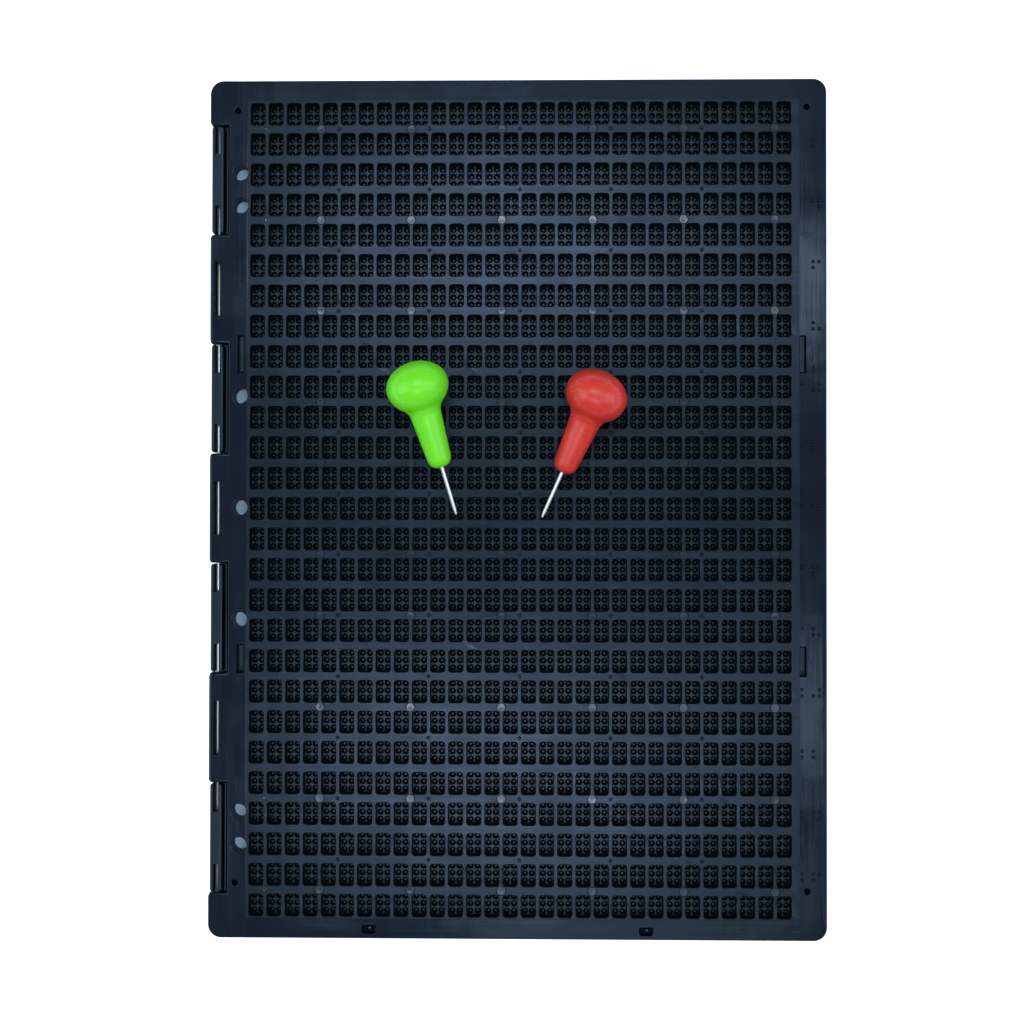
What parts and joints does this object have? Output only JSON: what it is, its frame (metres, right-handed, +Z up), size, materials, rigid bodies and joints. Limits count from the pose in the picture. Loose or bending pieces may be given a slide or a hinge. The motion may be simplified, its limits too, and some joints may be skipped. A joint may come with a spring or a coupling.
{
  "type": "braille slate and stylus set",
  "caption": "Full-page braille writing slate: a windowed cover hinged over a pitted lower plate, with round-headed styluses lying on the cover.",
  "frame": {"origin": "centre of the slate's footprint, on the flat underside that rests on the table", "axes": "+X across the page away from the hinge, +Y up the page towards the first line, +Z up from the table"},
  "size_m": [0.2026, 0.282, 0.0263],
  "materials": {
    "plate_plastic": "satin moulded, dark blue grey",
    "polished_steel": "polished",
    "green_plastic": "glossy moulded",
    "red_plastic": "glossy moulded"
  },
  "bodies": {
    "base": {"lower_plate": "plate_plastic", "hinge_rod": "polished_steel", "paper_pin_1": "polished_steel", "paper_pin_2": "polished_steel", "paper_pin_3": "polished_steel", "paper_pin_4": "polished_steel"},
    "cover": {"cover_plate": "plate_plastic"},
    "green_stylus": {"green_stylus_handle": "green_plastic", "green_stylus_needle": "polished_steel"},
    "red_stylus": {"red_stylus_handle": "red_plastic", "red_stylus_needle": "polished_steel"}
  },
  "joints": [
    {"name": "cover_hinge", "type": "hinge", "parent": "base", "child": "cover", "pos_m": [-0.0988, 0, 0.003], "axis": [0, -1, 0], "range_deg": [0, 180]},
    {"name": "green_stylus_lift", "type": "slide", "parent": "cover", "child": "green_stylus", "axis": [0, 0, 1], "range_m": [0, 0.1]},
    {"name": "red_stylus_lift", "type": "slide", "parent": "cover", "child": "red_stylus", "axis": [0, 0, 1], "range_m": [0, 0.1]}
  ]
}
